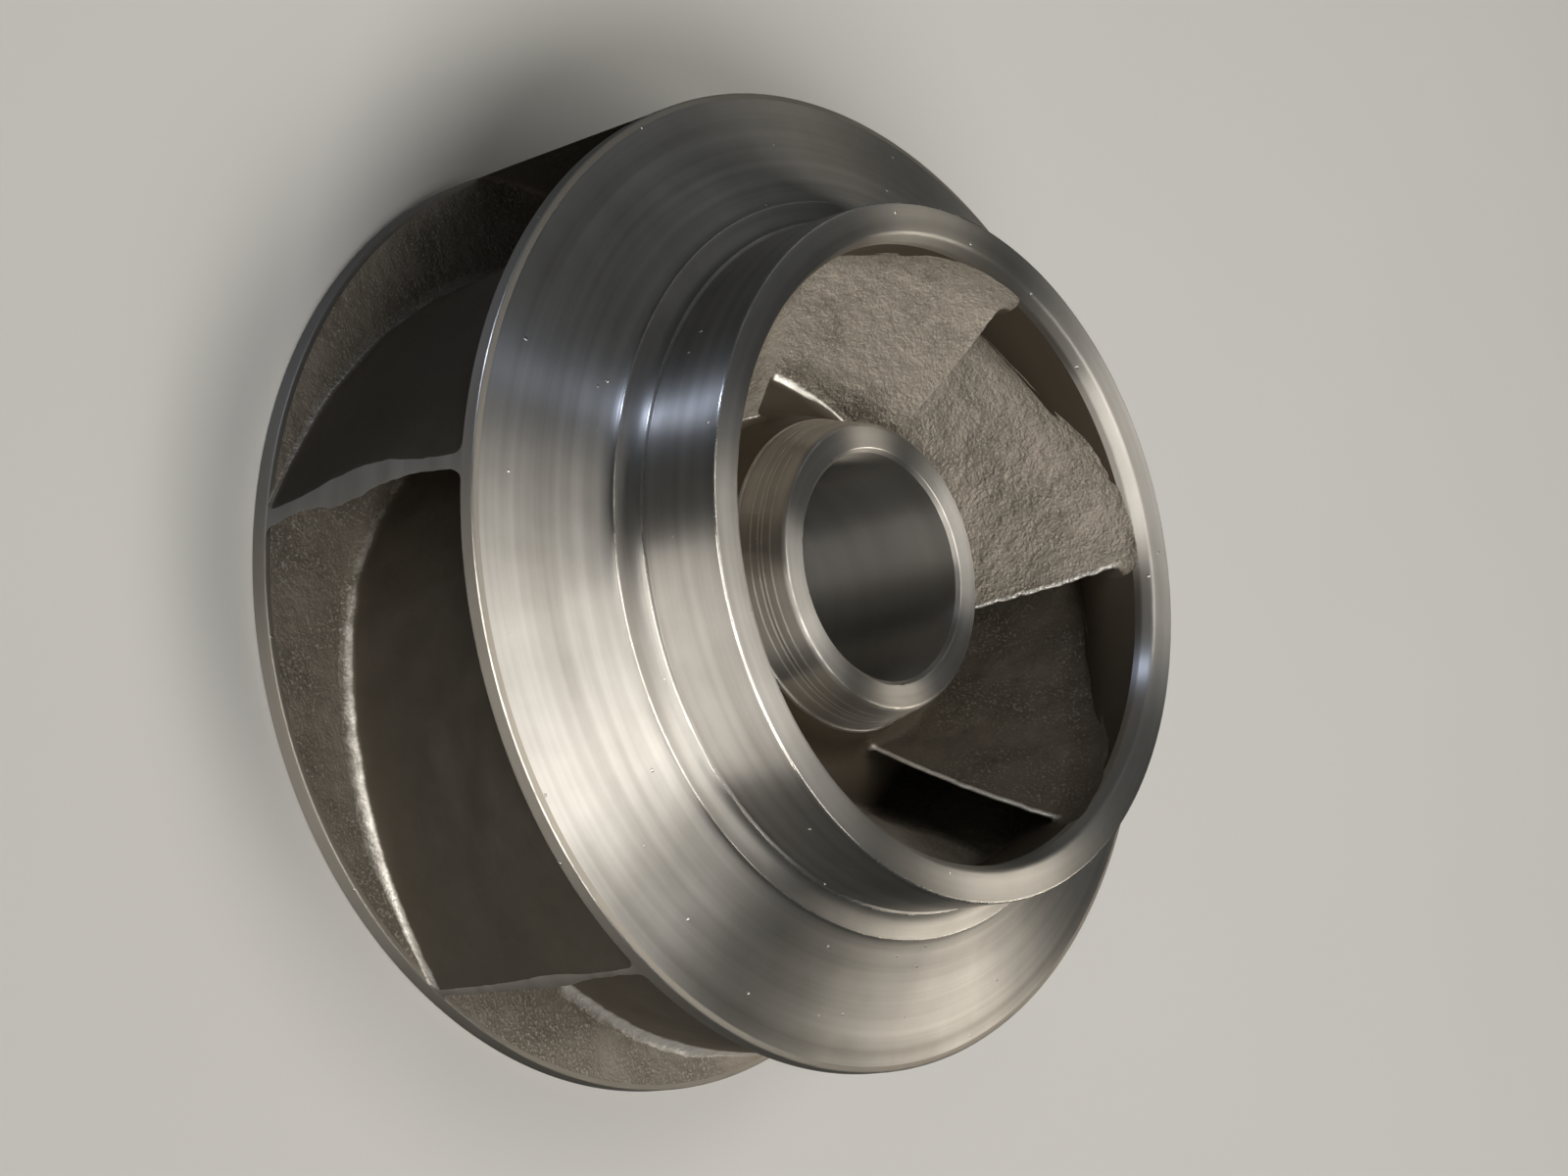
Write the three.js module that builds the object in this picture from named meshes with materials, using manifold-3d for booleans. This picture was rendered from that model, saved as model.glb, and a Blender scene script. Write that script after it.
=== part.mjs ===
// Closed pump impeller with six long swept vanes between a back shroud and a front shroud.
// Millimetres, +Z up. The shaft axis is Z, the suction eye faces +Z, and the origin is the
// centre of the back face, which the impeller rests on.
import * as THREE from "three";
import { mergeVertices } from "three/addons/utils/BufferGeometryUtils.js";
import Module from "manifold-3d";

const wasm = await Module();
wasm.setup();

// Overall sizes
const OUTER_RADIUS = 250;
const HEIGHT = 237;
const JOINT_GAP = 0.3;

// Hub: a bored sleeve whose turned nose stands in the suction eye
const BORE_RADIUS = 58.3;
const HUB_HEIGHT = 186.8;
const NOSE_TOP_RADIUS = 73.5;
const NOSE_FOOT_RADIUS = 80;
const NOSE_FOOT_HEIGHT = 159;
const NOSE_FOOT_STEP = 9;
const SLEEVE_RADIUS = 83;
const BORE_CHAMFER = 2.5;
const NOSE_CHAMFER = 1.5;

// Back shroud, in three rings: a dome round the hub nose, a steep cone and a flat plate
const DOME_OUTER_RADIUS = 118;
const CONE_OUTER_RADIUS = 190;
const BACK_RIM_THICKNESS = 10;
const BACK_PLATE_INNER_RADIUS = 200;

// Front shroud
const FRONT_RIM_BOTTOM = 150.8;
const FRONT_RIM_TOP = 159;
const SHOULDER_RADIUS = 187;
const SHOULDER_HEIGHT = 184;

// Suction ring
const RING_RADIUS = 174;
const RING_FOOT_HEIGHT = 190;
const RING_FACE_INNER_RADIUS = 158.3;
const EYE_RADIUS = 155;
const EYE_BEVEL_HEIGHT = 5.5;
const RING_OUTER_CHAMFER = 0.8;
const RING_LEDGE = 1.3;

// Vanes
const VANE_COUNT = 6;
const VANE_PHASE = 10.3;
const VANE_THICKNESS = 5;
const LEADING_EDGE_THICKNESS = 1.8;
const LEADING_EDGE_LENGTH = 0.1;
const WIDEST_HALF_TURN = 0.085;
const VANE_ROOT_DEPTH = 0.08;

// Mesh fineness
const TURN_SEGMENTS = 72;
const VANE_STEPS = 30;
const VANE_ROWS = 5;
const WALL_STEPS = 14;
const RING_STEPS = 5;
const MERGE_DISTANCE = 0.001;
const HALVINGS = 40;
const SLOPE_STEP = 0.002;
const RIM_ALLOWANCE = 1;

// Passage side of the back shroud, from the foot of the hub nose to the outlet rim
const hubWall = new THREE.SplineCurve([
  new THREE.Vector2(84, 149),
  new THREE.Vector2(86.5, 141),
  new THREE.Vector2(92, 135.5),
  new THREE.Vector2(109, 129.5),
  new THREE.Vector2(126, 114),
  new THREE.Vector2(143, 89),
  new THREE.Vector2(160, 59),
  new THREE.Vector2(178, 32),
  new THREE.Vector2(197, 16),
  new THREE.Vector2(220, 11),
  new THREE.Vector2(OUTER_RADIUS, BACK_RIM_THICKNESS),
]);

// Hollow underside of the back shroud, from the hub sleeve down to the flat back plate
const undersideWall = new THREE.SplineCurve([
  new THREE.Vector2(SLEEVE_RADIUS + JOINT_GAP, 117),
  new THREE.Vector2(114, 103),
  new THREE.Vector2(130, 82),
  new THREE.Vector2(147, 54),
  new THREE.Vector2(164, 27),
  new THREE.Vector2(182, 7),
  new THREE.Vector2(BACK_PLATE_INNER_RADIUS, 0),
]);

// Passage side of the suction ring and front shroud, from the bevel of the eye to the outlet
const shroudWall = new THREE.SplineCurve([
  new THREE.Vector2(EYE_RADIUS, HEIGHT - EYE_BEVEL_HEIGHT),
  new THREE.Vector2(EYE_RADIUS, 218),
  new THREE.Vector2(EYE_RADIUS, 206),
  new THREE.Vector2(156.3, 197),
  new THREE.Vector2(160, 188.5),
  new THREE.Vector2(168, 180),
  new THREE.Vector2(181, 172.5),
  new THREE.Vector2(200, 165.5),
  new THREE.Vector2(225, 158),
  new THREE.Vector2(OUTER_RADIUS, FRONT_RIM_BOTTOM),
]);

// Turned outer face of the front shroud, a shallow hollow cone up to the shoulder
const frontFace = new THREE.SplineCurve([
  new THREE.Vector2(OUTER_RADIUS, FRONT_RIM_TOP),
  new THREE.Vector2(230, 165.3),
  new THREE.Vector2(210, 172.7),
  new THREE.Vector2(196, 178.6),
  new THREE.Vector2(SHOULDER_RADIUS, SHOULDER_HEIGHT),
]);

// Vane stations from the leading edge to the outlet. Angles are degrees round the axis. The
// vane foot is placed on the back shroud by its radius, and its top on the front shroud by
// its height.
const VANE_STATIONS = [
  { footAngle: 0, footRadius: 89.3, topAngle: 10.3, topHeight: 220 },
  { footAngle: 20, footRadius: 99.5, topAngle: 28, topHeight: 209 },
  { footAngle: 41, footRadius: 110, topAngle: 46, topHeight: 193 },
  { footAngle: 68, footRadius: 132, topAngle: 70, topHeight: 179 },
  { footAngle: 94, footRadius: 164, topAngle: 94, topHeight: 170.5 },
  { footAngle: 119, footRadius: 190, topAngle: 119, topHeight: 164 },
  { footAngle: 142, footRadius: 207, topAngle: 142, topHeight: 159.5 },
  { footAngle: 161, footRadius: 225, topAngle: 161, topHeight: 155.5 },
  { footAngle: 178.4, footRadius: OUTER_RADIUS, topAngle: 178.4, topHeight: FRONT_RIM_BOTTOM },
];

const TURNED_STEEL = { color: 0x9a958e, roughness: 0.32, metalness: 1 };
const CAST_STEEL = { color: 0x6e675f, roughness: 0.6, metalness: 0.8 };

function namedMesh(name, geometry, finish) {
  const mesh = new THREE.Mesh(geometry, new THREE.MeshStandardMaterial(finish));
  mesh.name = name;
  return mesh;
}

function solidOf(geometry) {
  const bare = new THREE.BufferGeometry();
  bare.setAttribute("position", geometry.getAttribute("position"));
  bare.setIndex(geometry.index);
  const merged = mergeVertices(bare, MERGE_DISTANCE);
  const vertProperties = merged.getAttribute("position").array;
  const triVerts = new Uint32Array(merged.index.array);
  return new wasm.Manifold(new wasm.Mesh({ numProp: 3, vertProperties, triVerts }));
}

function geometryOf(solid) {
  const mesh = solid.getMesh();
  const geometry = new THREE.BufferGeometry();
  geometry.setAttribute("position", new THREE.BufferAttribute(mesh.vertProperties, 3));
  geometry.setIndex(new THREE.BufferAttribute(mesh.triVerts, 1));
  return geometry;
}

// A closed outline of [radius, height] points turned round the Z axis
function turnedGeometry(outline) {
  const profile = [...outline, outline[0]].map(([r, z]) => new THREE.Vector2(r, z));
  return new THREE.LatheGeometry(profile, TURN_SEGMENTS).rotateX(Math.PI / 2);
}

function turned(name, outline, finish) {
  return namedMesh(name, turnedGeometry(outline), finish);
}

// Points of a wall curve between two fractions of its length, as [radius, height]
function wallPoints(wall, from, to, steps) {
  const points = [];
  for (let i = 0; i <= steps; i++) {
    const p = wall.getPointAt(from + ((to - from) * i) / steps);
    points.push([p.x, p.y]);
  }
  return points;
}

// Fraction of a wall's length where its radius ("x", rising) or height ("y", falling) is reached
function wayAt(wall, axis, value) {
  const sign = axis === "x" ? 1 : -1;
  let low = 0;
  let high = 1;
  for (let i = 0; i < HALVINGS; i++) {
    const middle = (low + high) / 2;
    if (sign * (wall.getPointAt(middle)[axis] - value) < 0) low = middle;
    else high = middle;
  }
  return (low + high) / 2;
}

function hub() {
  const outline = [
    [BORE_RADIUS + BORE_CHAMFER, 0],
    [SLEEVE_RADIUS, 0],
    [SLEEVE_RADIUS, NOSE_FOOT_HEIGHT - NOSE_FOOT_STEP],
    [NOSE_FOOT_RADIUS, NOSE_FOOT_HEIGHT],
    [NOSE_TOP_RADIUS, HUB_HEIGHT - NOSE_CHAMFER],
    [NOSE_TOP_RADIUS - NOSE_CHAMFER, HUB_HEIGHT],
    [BORE_RADIUS + BORE_CHAMFER, HUB_HEIGHT],
    [BORE_RADIUS, HUB_HEIGHT - BORE_CHAMFER],
    [BORE_RADIUS, BORE_CHAMFER],
  ];
  return turned("hub", outline, TURNED_STEEL);
}

// Points of a wall curve between two radii
function wallBetween(wall, innerRadius, outerRadius, steps) {
  return wallPoints(wall, wayAt(wall, "x", innerRadius), wayAt(wall, "x", outerRadius), steps);
}

// The stretches of the hub wall that the three rings of the back shroud carry
const coneInnerRadius = DOME_OUTER_RADIUS + JOINT_GAP;
const plateInnerRadius = CONE_OUTER_RADIUS + JOINT_GAP;
const domeWallPoints = wallBetween(hubWall, 0, DOME_OUTER_RADIUS, RING_STEPS);
const coneWallPoints = wallBetween(hubWall, coneInnerRadius, CONE_OUTER_RADIUS, RING_STEPS);
const plateWallPoints = wallBetween(hubWall, plateInnerRadius, OUTER_RADIUS, RING_STEPS);

function hubDome() {
  const [, domeTop] = domeWallPoints[0];
  const outline = [
    ...wallBetween(undersideWall, 0, DOME_OUTER_RADIUS, RING_STEPS),
    ...domeWallPoints.toReversed(),
    [SLEEVE_RADIUS + JOINT_GAP, domeTop],
  ];
  return turned("hub_dome", outline, CAST_STEEL);
}

function hubCone() {
  const outline = [
    ...wallBetween(undersideWall, coneInnerRadius, CONE_OUTER_RADIUS, RING_STEPS),
    ...coneWallPoints.toReversed(),
  ];
  return turned("hub_cone", outline, CAST_STEEL);
}

function backShroud() {
  const outline = [
    ...wallBetween(undersideWall, plateInnerRadius, BACK_PLATE_INNER_RADIUS, RING_STEPS),
    [OUTER_RADIUS, 0],
    ...plateWallPoints.toReversed(),
  ];
  return turned("back_shroud", outline, CAST_STEEL);
}

// The two stretches of the wall that the suction ring and the front shroud carry
const ringEnd = wayAt(shroudWall, "y", RING_FOOT_HEIGHT);
const ringWallPoints = wallPoints(shroudWall, 0, ringEnd, WALL_STEPS / 2);
const frontWallPoints = wallPoints(shroudWall, ringEnd, 1, WALL_STEPS);

function frontShroud() {
  const seat = RING_FOOT_HEIGHT - JOINT_GAP;
  const outline = [
    ...wallPoints(frontFace, 0, 1, WALL_STEPS / 2),
    [RING_RADIUS + RING_LEDGE, seat],
    [frontWallPoints[0][0], seat],
    ...frontWallPoints.slice(1),
  ];
  return turned("front_shroud", outline, TURNED_STEEL);
}

function suctionRing() {
  const outline = [
    [RING_RADIUS, RING_FOOT_HEIGHT],
    [RING_RADIUS, HEIGHT - RING_OUTER_CHAMFER],
    [RING_RADIUS - RING_OUTER_CHAMFER, HEIGHT],
    [RING_FACE_INNER_RADIUS, HEIGHT],
    ...ringWallPoints,
  ];
  return turned("suction_ring", outline, TURNED_STEEL);
}

// Paths of the vane's foot and top, as angle against way along the wall
const footPath = new THREE.SplineCurve(
  VANE_STATIONS.map((s) => new THREE.Vector2(s.footAngle, wayAt(hubWall, "x", s.footRadius))),
);
const topPath = new THREE.SplineCurve(
  VANE_STATIONS.map((s) => new THREE.Vector2(s.topAngle, wayAt(shroudWall, "y", s.topHeight))),
);

// Middle surface of a vane: along runs from the leading edge to the outlet, up from foot to top
function vaneMiddle(along, up, turn = 0) {
  const foot = footPath.getPoint(along);
  const top = topPath.getPoint(along);
  const footPoint = hubWall.getPointAt(THREE.MathUtils.clamp(foot.y, 0, 1));
  const topPoint = shroudWall.getPointAt(THREE.MathUtils.clamp(top.y, 0, 1));
  const radius = THREE.MathUtils.lerp(footPoint.x, topPoint.x, up);
  const height = THREE.MathUtils.lerp(footPoint.y, topPoint.y, up);
  const angle = THREE.MathUtils.lerp(foot.x, top.x, up) + VANE_PHASE;
  const round = THREE.MathUtils.degToRad(angle) + turn;
  return new THREE.Vector3(radius * Math.cos(round), radius * Math.sin(round), height);
}

// Half the angle that the vane fills round the axis, from its thickness square to its surface
function halfTurn(along, up) {
  const near = Math.min(along, 1 - SLOPE_STEP);
  const here = vaneMiddle(near, up);
  const forward = vaneMiddle(near + SLOPE_STEP, up).sub(here);
  const upward = vaneMiddle(near, up + SLOPE_STEP).sub(here);
  const normal = forward.cross(upward).normalize();
  const radius = Math.hypot(here.x, here.y);
  const round = new THREE.Vector3(-here.y, here.x, 0).divideScalar(radius);
  const taper = THREE.MathUtils.smoothstep(along, 0, LEADING_EDGE_LENGTH);
  const thickness = THREE.MathUtils.lerp(LEADING_EDGE_THICKNESS, VANE_THICKNESS, taper);
  return Math.min(thickness / (2 * radius * Math.abs(normal.dot(round))), WIDEST_HALF_TURN);
}

// One vane whose foot and top run a little way into both shrouds
function rootedVane() {
  const positions = [];
  for (const side of [-1, 1]) {
    for (let i = 0; i <= VANE_STEPS; i++) {
      for (let j = 0; j <= VANE_ROWS; j++) {
        const along = i / VANE_STEPS;
        const up = -VANE_ROOT_DEPTH + (j / VANE_ROWS) * (1 + 2 * VANE_ROOT_DEPTH);
        positions.push(...vaneMiddle(along, up, side * halfTurn(along, up)));
      }
    }
  }
  const faceSize = (VANE_STEPS + 1) * (VANE_ROWS + 1);
  const at = (side, i, j) => side * faceSize + i * (VANE_ROWS + 1) + j;
  const index = [];
  const quad = (a, b, c, d) => index.push(a, b, c, a, c, d);
  for (let i = 0; i < VANE_STEPS; i++) {
    for (let j = 0; j < VANE_ROWS; j++) {
      quad(at(0, i, j), at(0, i + 1, j), at(0, i + 1, j + 1), at(0, i, j + 1));
      quad(at(1, i, j), at(1, i, j + 1), at(1, i + 1, j + 1), at(1, i + 1, j));
    }
    quad(at(0, i, 0), at(1, i, 0), at(1, i + 1, 0), at(0, i + 1, 0));
    quad(at(0, i, VANE_ROWS), at(0, i + 1, VANE_ROWS), at(1, i + 1, VANE_ROWS), at(1, i, VANE_ROWS));
  }
  for (let j = 0; j < VANE_ROWS; j++) {
    quad(at(0, 0, j), at(0, 0, j + 1), at(1, 0, j + 1), at(1, 0, j));
    quad(at(0, VANE_STEPS, j), at(1, VANE_STEPS, j), at(1, VANE_STEPS, j + 1), at(0, VANE_STEPS, j + 1));
  }
  const geometry = new THREE.BufferGeometry();
  geometry.setAttribute("position", new THREE.Float32BufferAttribute(positions, 3));
  geometry.setIndex(index);
  return geometry;
}

// Wall points moved square to the wall by the joint gap, to the left of their direction if
// side is 1 and to the right if it is -1
function seatPoints(points, side) {
  return points.map(([r, z], i) => {
    const [r0, z0] = points[Math.max(i - 1, 0)];
    const [r1, z1] = points[Math.min(i + 1, points.length - 1)];
    const gap = (side * JOINT_GAP) / Math.hypot(r1 - r0, z1 - z0);
    return [r - (z1 - z0) * gap, z + (r1 - r0) * gap];
  });
}

// The water space between the shrouds, less the joint gap, which the vanes are trimmed to. It
// runs a little past the rims, so that it doesn't trim the vane tips.
function passageGeometry() {
  const foot = seatPoints([...domeWallPoints, ...coneWallPoints, ...plateWallPoints], 1);
  const top = seatPoints([...ringWallPoints, ...frontWallPoints.slice(1)], -1);
  const [, footHeight] = foot.at(-1);
  const [, topHeight] = top.at(-1);
  const pastRim = OUTER_RADIUS + RIM_ALLOWANCE;
  const outline = [...foot, [pastRim, footHeight], [pastRim, topHeight], ...top.reverse()];
  return turnedGeometry(outline);
}

function vanes() {
  const trimmed = solidOf(rootedVane()).intersect(solidOf(passageGeometry()));
  const geometry = geometryOf(trimmed);
  const group = new THREE.Group();
  for (let i = 0; i < VANE_COUNT; i++) {
    const vane = namedMesh("vane_" + (i + 1), geometry, CAST_STEEL);
    vane.rotation.z = (i * 2 * Math.PI) / VANE_COUNT;
    group.add(vane);
  }
  return group;
}

const impeller = new THREE.Group();
impeller.add(hub(), hubDome(), hubCone(), backShroud(), frontShroud(), suctionRing(), vanes());

export default impeller;
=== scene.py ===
# Closed pump impeller: its turned and cast surfaces, finishes and stage, in metres
import math

import bpy
import numpy as np
from mathutils import Matrix, Vector


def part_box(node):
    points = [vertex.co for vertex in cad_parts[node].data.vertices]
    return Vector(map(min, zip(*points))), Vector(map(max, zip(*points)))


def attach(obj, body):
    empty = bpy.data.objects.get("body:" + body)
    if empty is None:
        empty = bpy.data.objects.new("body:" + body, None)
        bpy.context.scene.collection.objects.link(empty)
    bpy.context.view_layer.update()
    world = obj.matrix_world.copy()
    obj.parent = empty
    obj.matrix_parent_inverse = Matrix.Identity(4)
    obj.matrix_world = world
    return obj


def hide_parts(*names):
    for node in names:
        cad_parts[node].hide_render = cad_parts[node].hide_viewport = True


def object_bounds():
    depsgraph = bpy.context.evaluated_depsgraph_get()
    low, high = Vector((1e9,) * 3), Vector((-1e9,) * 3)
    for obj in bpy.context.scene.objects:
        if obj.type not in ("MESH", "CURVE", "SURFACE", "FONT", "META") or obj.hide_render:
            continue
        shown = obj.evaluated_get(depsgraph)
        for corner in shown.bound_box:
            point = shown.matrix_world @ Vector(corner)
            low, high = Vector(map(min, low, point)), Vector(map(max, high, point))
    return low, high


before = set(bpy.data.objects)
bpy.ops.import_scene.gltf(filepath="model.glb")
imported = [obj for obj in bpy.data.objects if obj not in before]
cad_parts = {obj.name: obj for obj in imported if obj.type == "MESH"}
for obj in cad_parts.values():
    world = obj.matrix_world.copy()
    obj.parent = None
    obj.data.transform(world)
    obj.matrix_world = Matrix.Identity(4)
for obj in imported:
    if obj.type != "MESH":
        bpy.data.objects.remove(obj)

bl_info = {
    "name": "Pump impeller",
    "version": (1, 0, 0),
    "blender": (4, 5, 0),
    "location": "3D View > Sidebar > Impeller",
    "description": "Makes a closed pump impeller in turned and cast steel, with its stage",
    "category": "Add Mesh",
}

CAD_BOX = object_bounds()
BOX_CENTRE = (CAD_BOX[0] + CAD_BOX[1]) / 2
MM = 0.001
UP = np.array([0, 0, 1])

# Radii and heights in millimetres, read from the frame
OUTER_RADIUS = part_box("back_shroud")[1].x / MM
HUB_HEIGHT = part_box("hub")[1].z / MM
RING_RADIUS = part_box("suction_ring")[1].x / MM
RING_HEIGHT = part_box("suction_ring")[1].z / MM

# Fineness of the surfaces
TURN_STEPS = 384
WALL_STEPS = 48
FACE_STEPS = 24
BAND_STEPS = 8
ROUNDING_STEPS = 4
VANE_STEPS = 150
VANE_ROWS = 30
FILLET_ROWS = 9
EDGE_STEPS = 10
CURVE_SAMPLES = 3000
SEARCH_STRIDE = 5
SHARP_ANGLE = math.radians(32)

# Powers that draw a vane's columns towards its leading edge and a fillet's rows to its wall
EDGE_CROWDING = 1.15
WALL_CROWDING = 1.6

# Small steps that give the slopes of a vane and of a wall, and the length that counts as none
SLOPE_STEP = 0.002
WALL_SLOPE_STEP = 0.004
NO_LENGTH = 1e-9

# Roundings: the most of the shorter line that one takes, how many roundings from the corner the
# points lie that hold the lines flat, and the most of a line that those take
MOST_ROUNDING = 0.4
HOLD_DISTANCE = 1.6
MOST_HOLD = 0.48

# Smooth outlines in millimetres, radius then height
EYE_RADIUS = 155
HUB_WALL = (
    (80.6, 158.6), (82, 155.5), (84, 149), (86.5, 141), (92, 135.5), (109, 129.5), (126, 114),
    (143, 89), (160, 59), (178, 32), (197, 16), (220, 11), (250, 10),
)
UNDERSIDE_WALL = (
    (83, 99), (85, 108), (92, 112.5), (103, 109.5), (114, 103), (130, 82), (147, 54), (164, 27),
    (182, 7), (200, 0),
)
SHROUD_WALL = (
    (EYE_RADIUS, 231.5), (EYE_RADIUS, 218), (EYE_RADIUS, 206), (156.3, 197), (160, 188.5),
    (168, 180), (181, 172.5), (200, 165.5), (225, 158), (250, 150.8),
)
FRONT_FACE = ((250, 159), (230, 165.3), (210, 172.7), (197, 178.4), (190, 181.8), (187.8, 183.3))
NECK_BAND = ((186.2, 185.7), (183, 186), (179.4, 187), (177, 188.4), (175.9, 189.8))

# Stretches of those outlines that are used, as shares of their lengths: corners take the rest
HUB_WALL_STRETCH = (0.988, 0)
UNDERSIDE_STRETCH = (0, 0.995)
SHROUD_WALL_STRETCH = (0.03, 0.985)
FRONT_FACE_STRETCH = (0.05, 1)
NECK_BAND_STRETCH = (0.05, 0.97)

# The hub in millimetres: its sleeve, the seat that the casting closes round, the collar at the
# foot of the nose as corners (radius, height, rounding), the taper of the nose with the heights
# of its fine steps, and the bevels of the nose, the bore's mouth and its back end
SLEEVE_RADIUS = 83
SLEEVE_HEIGHT = 146
SEAT_RADIUS = 79
SEAT_HEIGHTS = (150, 158.2)
NOSE_COLLAR = ((80.5, 158.7, 0.3), (80.3, 160.6, 0.5), (79.2, 161.2, 0.4))
NOSE_RADII = (80, 73.5)
NOSE_HEIGHTS = (159, 185.3)
NOSE_STEPS = (168, 172, 174.2, 178.6)
STEP_HALF_DEPTH = 0.2
STEP_RISE = 0.6
NOSE_BEVEL_WIDTH = 1.5
NOSE_BEVEL_HEIGHT = 1.6
MOUTH_BEVEL = 2
BACK_BEVEL = 2.5

# The shrouds in millimetres: how far the skimmed rims run inwards, how much higher the back wall,
# the front wall and the front face are there than at the rim, and the casting's inner corners,
# which lie hidden inside the hub
RIM_BAND = 2.5
BACK_WALL_RISE = 0.1
FRONT_WALL_RISE = 0.7
FRONT_FACE_RISE = 0.8
HIDDEN_EDGE = ((78, 158), (81, 99))

# The neck and the suction ring in millimetres: corners (radius, height, rounding) of the shoulder
# and of the ledge at the ring's foot, the ring's flat end face, the bevel of the eye, and how far
# down the ring's outside and inside the corners of its end are drawn
NECK_SHOULDER = ((187.4, 183.9, 0.3), (187.1, 185.5, 0.35))
NECK_LEDGE = (
    (175.3, 191.6, 0.7), (173.6, 192.2, 0.3), (RING_RADIUS, 196, 0.6), (RING_RADIUS, 215, 0),
)
RING_FACE_RADIUS = 158.3
EYE_BEVEL = 5.5
OUTSIDE_DEPTH = 10
INSIDE_DEPTH = 8

# Vane stations from leading edge to outlet: foot angle in degrees, foot radius on the hub wall,
# top angle, top height on the shroud wall
VANE_STATIONS = (
    (0, 89.3, 10.3, 220), (20, 99.5, 28, 209), (41, 110, 46, 193), (68, 132, 70, 179),
    (94, 164, 94, 170.5), (119, 190, 119, 164), (142, 207, 142, 159.5), (161, 225, 161, 155.5),
    (178.4, 250, 178.4, 150.8),
)
VANE_COUNT = 6
VANE_PHASE = math.radians(10.3)

# A vane's shape: the share of its length where it has its full thickness, the share where the cut
# of its outlet starts to bend it, how much of the fillets that cut keeps, the share of a fillet
# that its root goes into the wall, and the least lean at which its foot widens in full
THICK_FROM = 0.1
OUTLET_FROM = 0.86
OUTLET_FLARE = 0.7
ROOT_DEPTH = 0.3
LEAST_LEAN = 0.45

# Where turning cut through each vane's outlet: millimetres along the rim from the middle of the
# vane to its outer and to its inner face, at even steps from foot to top
OUTLET_EDGES = (
    ((2, 4, 6, 5, 3, 2), (4, 6, 5, 6.5, 5, 4)),
    ((-1, 2, 7, 8, 3.5, 1), (9, 5.8, 8.3, 3.8, 3.2, 6.5)),
    ((0.5, 0, 0.3, 2, -0.6, 0.4), (4, 5.7, 6, 7, 3.8, 4.2)),
    ((1, 3, 5, 6, 4, 2), (5, 4, 6, 4, 3, 4)),
    ((2, 2, 4, 3, 5, 3), (5, 7, 6, 4, 3, 3)),
    ((0, 3, 2, 4, 3, 1), (6, 5, 7.5, 6, 4, 5)),
)

# How far each vane is ground and painted bright as a highlight: its leading edge, its foot
# beside that on the inner face and the foot of its outer face, then half the width of that last
# strip in millimetres
GROUND_AND_HIGHLIGHT = (
    (1, 0, 0.5, 1.2), (1, 0, 0.6, 0.6), (0.3, 1, 0.8, 2.4), (0.3, 1, 1, 2.6), (0.7, 0, 0.5, 1.2),
    (0.6, 0, 0.6, 1.5),
)

# Distances from a leading edge between which its bright grinding and painted highlight end, the
# inner face's ground strip widens and that strip ends, and the share of the fillet where a strip's
# middle lies
BRIGHT_EDGE_END = (0.4 * MM, 1.4 * MM)
STRIP_WIDENING = (30 * MM, 74 * MM)
STRIP_END = (76 * MM, 78 * MM)
STRIP_MIDDLE = 0.33

# The inner face's strip before and after it widens as half widths in millimetres, the shares of
# the length between which the outer face's grows, and how soft the edges of the two strips are
INNER_STRIP = (0.6, 1.1)
OUTER_GROWTH = (0.45, 0.95)
STRIP_SOFTNESS = (0.2, 0.8)

# How sandy and how light each vane's inner face is painted, every vane's outer face, and the
# shrouds' cast walls at the rim, with the radii between which that grows from nothing. Low values
# paint the casting dark as shade: the outer faces, the first vane's inner face and the walls near
# the hub.
INNER_SAND_AND_LIGHT = (0.2, 1, 1, 0.9, 0.9, 0.8)
OUTER_SAND_AND_LIGHT = 0.08
WALL_SAND_AND_LIGHT = 0.6
WALL_SAND_LIGHT_RADII = (152 * MM, 242 * MM)

# Wavelengths of the waves in the cast shrouds and vanes, of the nicks in leading edges and of the
# uneven cut of the outlets, how far apart a vane's two faces read their waves from its middle, and
# how far along a vane nicks fade and waves grow
SHROUD_WAVES = (26 * MM, 9 * MM)
VANE_WAVES = (24 * MM, 8 * MM)
EDGE_NICKS = (7 * MM, 3 * MM)
OUTLET_WAVE = 9 * MM
FACE_SHIFT = 2 * MM
NICKS_FADE = 6 * MM
WAVES_GROW = 20 * MM

# How many sine waves make a ripple, and how far their wavelengths spread about its own
WAVE_COUNT = 28
WAVE_SPREAD = (0.6, 1.7)

# Curvatures per metre at which a turned edge starts to get its painted highlight and burnish, and
# has them in full
EDGE_HIGHLIGHT_BENDS = (200, 600)

# Sizes of the patterns in the finishes
TURNED_BAND = 9 * MM
SMUDGE = 25 * MM
STAIN = 35 * MM
LUMP = 6 * MM
LUMP_HEIGHT = 2 * MM
GRAIN_HEIGHT = 0.45 * MM
WEAR = 10 * MM
NICK = 1 * MM
NICK_DEPTH = 0.3 * MM
NICK_SPACING = 18 * MM
FLOOR_PATCH = 250 * MM

# How quickly fine marks and broad bands change round the shaft
AROUND_DRIFT = 0.7
BAND_DRIFT = 0.5

# The camera stands where the photograph was taken from and is turned on its side as it was
CAMERA_PLACE = (0, -1.2127, 1.1859)
CAMERA_TURN = math.radians(77.5)
CAMERA_LENS = 72
SENSOR_WIDTH = 36

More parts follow.
